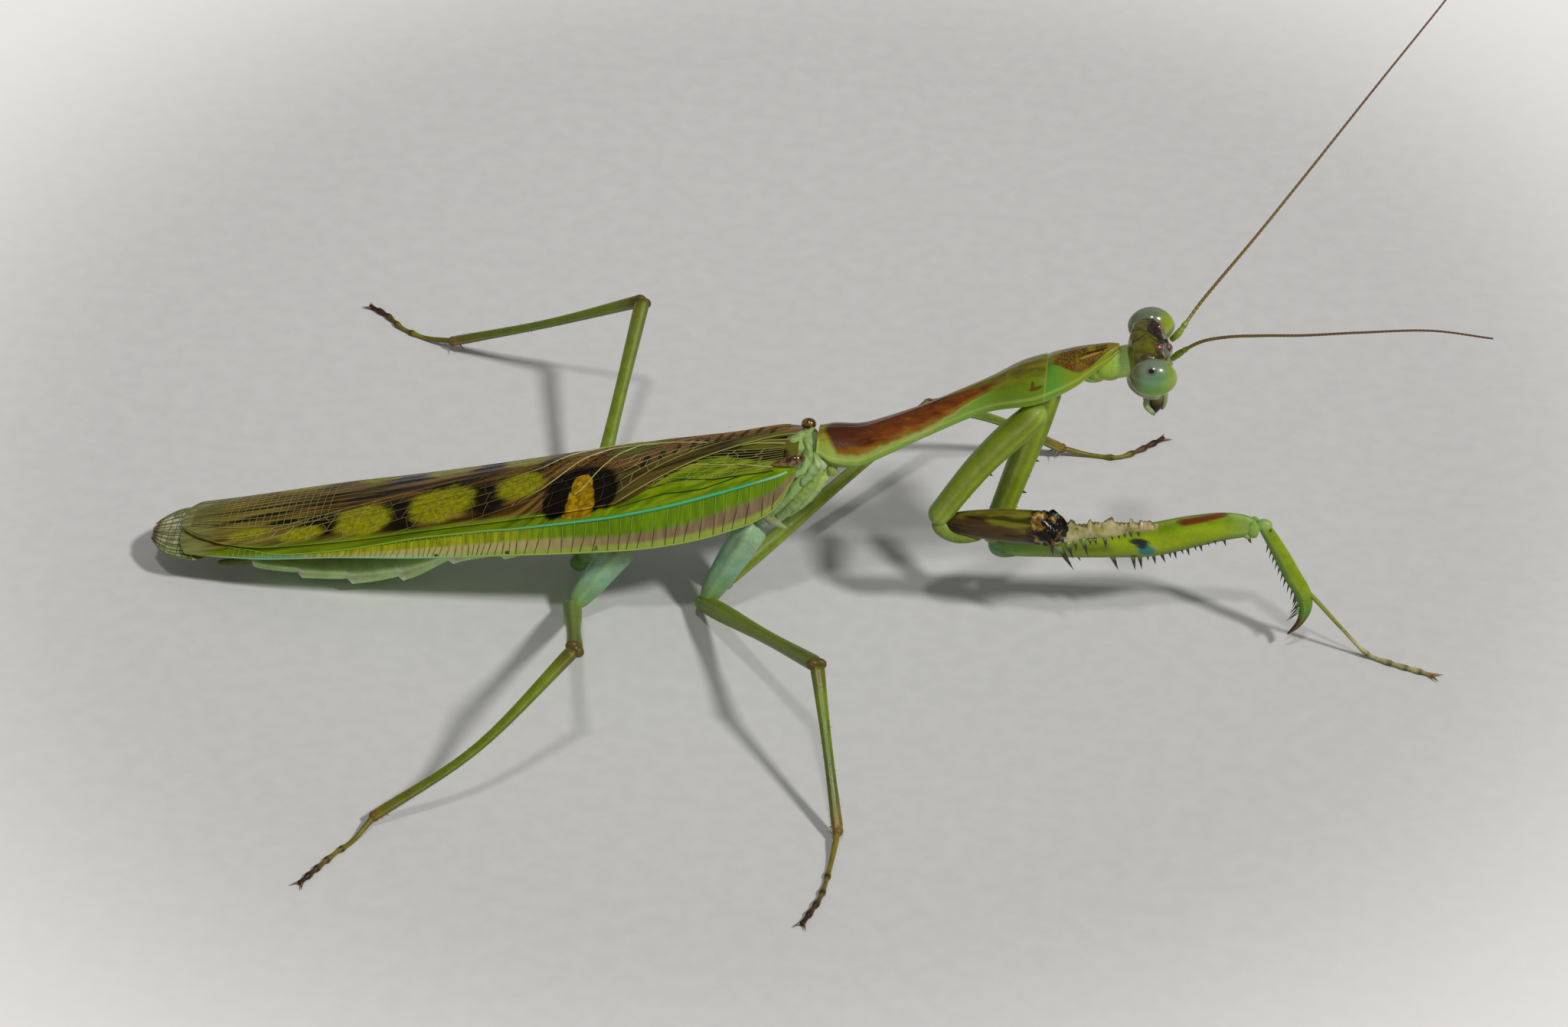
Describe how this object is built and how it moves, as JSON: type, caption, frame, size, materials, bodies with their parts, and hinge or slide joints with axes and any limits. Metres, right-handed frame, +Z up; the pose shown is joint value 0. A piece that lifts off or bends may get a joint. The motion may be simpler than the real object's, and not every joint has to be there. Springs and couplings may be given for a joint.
{
  "type": "praying mantis",
  "caption": "Life-size praying mantis standing with raised head, folded patterned wings and spined grasping forelegs, one of them torn.",
  "frame": {"origin": "centre of the box round the insect, on the floor under its feet", "axes": "+X towards the head, +Y towards the insect's left, +Z up"},
  "size_m": [0.0984, 0.0738, 0.0495],
  "materials": {
    "green_skin": "smooth waxy skin, green",
    "pale_skin": "smooth waxy skin, pale mint green",
    "head_skin": "smooth skin, olive with darker bands",
    "shield": "smooth skin, rust brown with green edges",
    "foot_skin": "smooth skin, brown",
    "torn_skin": "torn, dark glossy skin",
    "feeler": "fine ringed feeler, green to brown",
    "forewing": "glossy veined wing, green and brown",
    "hindwing": "thin veined wing, pale",
    "eye": "glossy compound eye, green"
  },
  "bodies": {
    "root": {"head": "head_skin", "mouthparts": "head_skin", "eye_left": "eye", "antenna_left": "feeler", "eye_right": "eye", "antenna_right": "feeler", "neck": "green_skin", "prothorax": "shield", "thorax": "pale_skin", "abdomen": "pale_skin", "forewing_left": "forewing", "forewing_right": "forewing", "hindwing_left": "hindwing", "hindwing_right": "hindwing", "midleg_right_coxa": "pale_skin", "midleg_right_femur": "green_skin", "midleg_right_tibia": "green_skin", "midleg_right_tarsus": "foot_skin", "midleg_left_coxa": "pale_skin", "midleg_left_femur": "green_skin", "midleg_left_tibia": "green_skin", "midleg_left_tarsus": "foot_skin", "hindleg_right_coxa": "pale_skin", "hindleg_right_femur": "green_skin", "hindleg_right_tibia": "green_skin", "hindleg_right_tarsus": "foot_skin", "hindleg_left_coxa": "pale_skin", "hindleg_left_femur": "green_skin", "hindleg_left_tibia": "green_skin", "hindleg_left_tarsus": "foot_skin", "foreleg_left_coxa": "green_skin", "foreleg_right_coxa": "green_skin", "foreleg_left_femur": "green_skin", "foreleg_left_tibia": "green_skin", "foreleg_left_tarsus": "foot_skin", "foreleg_right_femur": "torn_skin"}
  },
  "joints": []
}
